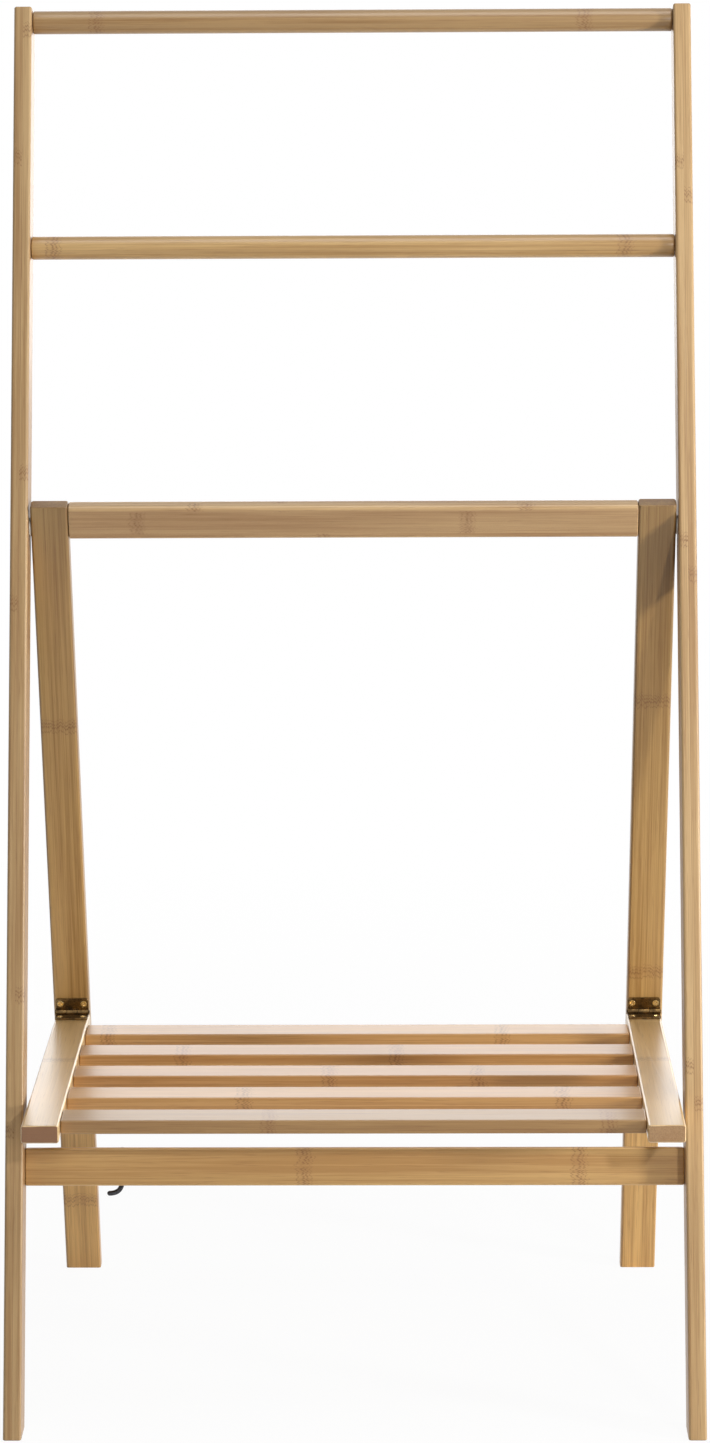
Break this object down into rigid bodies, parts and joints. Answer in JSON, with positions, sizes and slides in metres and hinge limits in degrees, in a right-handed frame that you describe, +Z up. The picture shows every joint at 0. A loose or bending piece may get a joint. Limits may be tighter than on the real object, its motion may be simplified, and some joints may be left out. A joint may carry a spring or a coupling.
{
  "type": "standing towel rack",
  "caption": "Folding bamboo towel rack with a leaning front frame, round towel bars, a hinged slatted shelf and a catch hook.",
  "frame": {"origin": "middle of the footprint of the four feet, on the floor", "axes": "+Z up, +X to the right as seen from the front, -Y to the front, where the foot of the leaning frame stands"},
  "size_m": [0.5, 0.3782, 1.0029],
  "materials": {
    "bamboo": "satin lacquered laminated bamboo",
    "light_bamboo": "satin lacquered laminated bamboo, lighter strips",
    "bright_steel": "zinc plated",
    "brass": "brass plated",
    "aged_bronze": "aged bronze plating on steel",
    "nylon": "natural nylon",
    "black_steel": "blackened steel wire"
  },
  "bodies": {
    "front_frame": {"left_post": "bamboo", "right_post": "bamboo", "top_bar": "bamboo", "second_bar": "bamboo", "front_stretcher": "bamboo", "left_top_bar_screw": "bright_steel", "left_second_bar_screw": "bright_steel", "left_stretcher_upper_screw": "bright_steel", "left_stretcher_lower_screw": "bright_steel", "left_shelf_rest_pin": "bright_steel", "right_top_bar_screw": "bright_steel", "right_second_bar_screw": "bright_steel", "right_stretcher_upper_screw": "bright_steel", "right_stretcher_lower_screw": "bright_steel", "right_shelf_rest_pin": "bright_steel", "catch_hook_screw": "black_steel"},
    "rear_frame": {"left_rear_leg": "bamboo", "right_rear_leg": "bamboo", "rear_top_rail": "bamboo", "left_top_rail_lower_dowel": "light_bamboo", "left_top_rail_upper_dowel": "light_bamboo", "left_pivot_bolt": "bright_steel", "left_pivot_insert": "brass", "left_pivot_washer": "nylon", "left_hinge_leg_leaf": "aged_bronze", "left_hinge_pin": "aged_bronze", "left_leg_leaf_outer_screw": "brass", "left_leg_leaf_inner_screw": "brass", "right_top_rail_lower_dowel": "light_bamboo", "right_top_rail_upper_dowel": "light_bamboo", "right_pivot_bolt": "bright_steel", "right_pivot_insert": "brass", "right_pivot_washer": "nylon", "right_hinge_leg_leaf": "aged_bronze", "right_hinge_pin": "aged_bronze", "right_leg_leaf_outer_screw": "brass", "right_leg_leaf_inner_screw": "brass"},
    "shelf": {"left_shelf_rail": "light_bamboo", "right_shelf_rail": "light_bamboo", "shelf_slat_1": "light_bamboo", "shelf_slat_2": "light_bamboo", "shelf_slat_3": "light_bamboo", "shelf_slat_4": "light_bamboo", "shelf_slat_5": "light_bamboo", "left_hinge_shelf_leaf": "aged_bronze", "left_shelf_leaf_outer_screw": "brass", "left_shelf_leaf_inner_screw": "brass", "right_hinge_shelf_leaf": "aged_bronze", "right_shelf_leaf_outer_screw": "brass", "right_shelf_leaf_inner_screw": "brass", "catch_eye": "black_steel"},
    "catch_hook": {"catch_hook": "black_steel"}
  },
  "joints": [
    {"name": "rear_frame_fold", "type": "hinge", "parent": "front_frame", "child": "rear_frame", "pos_m": [0, 0.00139, 0.6278], "axis": [-1, 0, 0], "range_deg": [0, 28.5]},
    {"name": "shelf_fold", "type": "hinge", "parent": "rear_frame", "child": "shelf", "pos_m": [0, 0.10642, 0.2311], "axis": [-1, 0, 0], "range_deg": [0, 72]},
    {"name": "catch_hook_swing", "type": "hinge", "parent": "front_frame", "child": "catch_hook", "pos_m": [-0.168, -0.10666, 0.18407], "axis": [0, 0.9627, -0.2706], "range_deg": [-140, 180]}
  ],
  "couplings": [
    {"joint": "shelf_fold", "follows": "rear_frame_fold", "ratio": 2.5}
  ]
}
